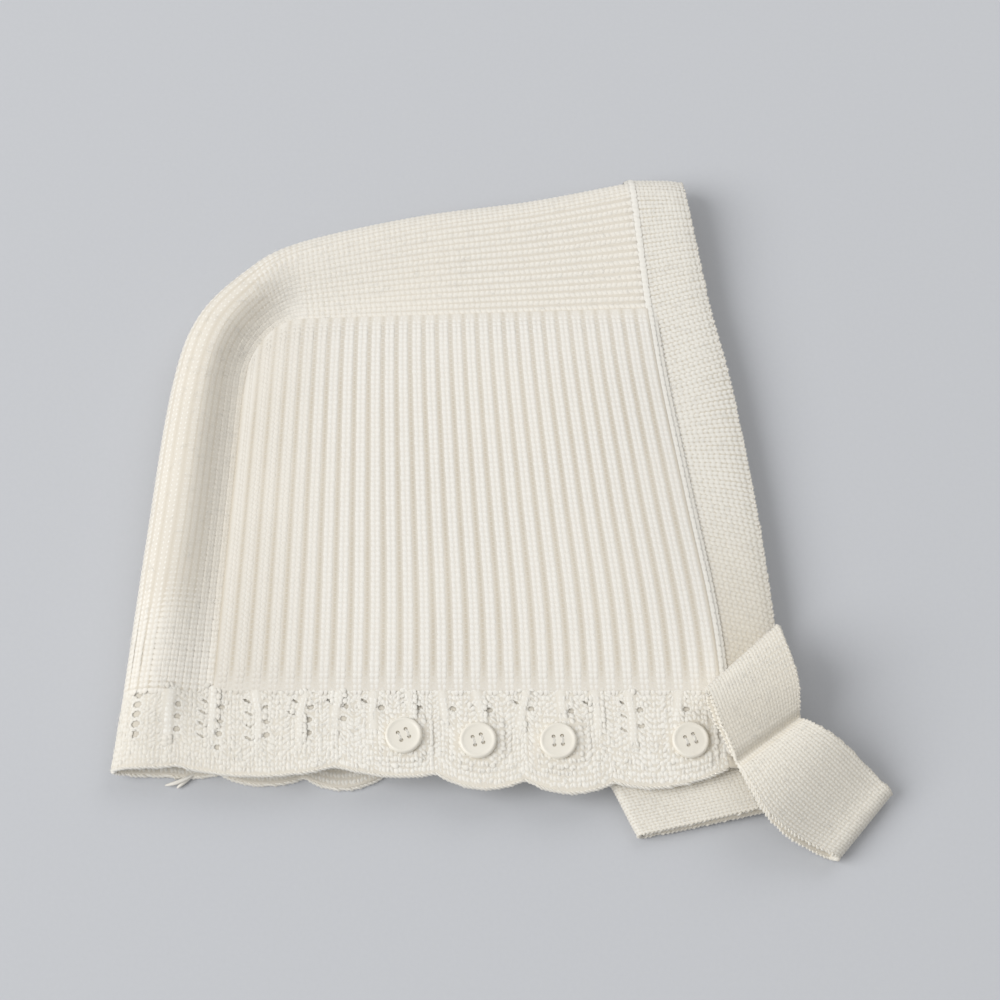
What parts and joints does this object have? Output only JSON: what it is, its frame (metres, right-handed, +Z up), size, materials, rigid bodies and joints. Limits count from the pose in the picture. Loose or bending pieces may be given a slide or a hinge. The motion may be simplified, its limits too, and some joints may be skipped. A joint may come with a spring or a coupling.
{
  "type": "knitted baby bonnet lying on its side",
  "caption": "Soft knitted baby bonnet lying flat on its side, with ribbed panels, a ridged crown strip, a face band, a scalloped lace hem, buttons, a bow and a chin strap.",
  "frame": {"origin": "on the surface that the bonnet lies on, under the middle of its bounding box", "axes": "+X towards the face opening, +Y towards the crown, +Z up from the surface it lies on"},
  "size_m": [0.193, 0.1867, 0.0197],
  "materials": {
    "rib_knit": "cream wool, ribbed knit",
    "crown_knit": "cream wool, soft ridged knit",
    "band_knit": "cream wool, close double knit",
    "lace_knit": "cream wool, eyelet lace knit",
    "bow_knit": "cream wool, plain knit",
    "strap_knit": "cream wool, plain knit",
    "button_shell": "cream, softly polished"
  },
  "bodies": {
    "root": {"side_panel_upper": "rib_knit", "side_panel_lower": "rib_knit", "crown_strip": "crown_knit", "face_band": "band_knit", "lace_hem": "lace_knit", "bow": "bow_knit", "chin_strap": "strap_knit", "button_1": "button_shell", "button_2": "button_shell", "button_3": "button_shell", "button_4": "button_shell"}
  },
  "joints": []
}
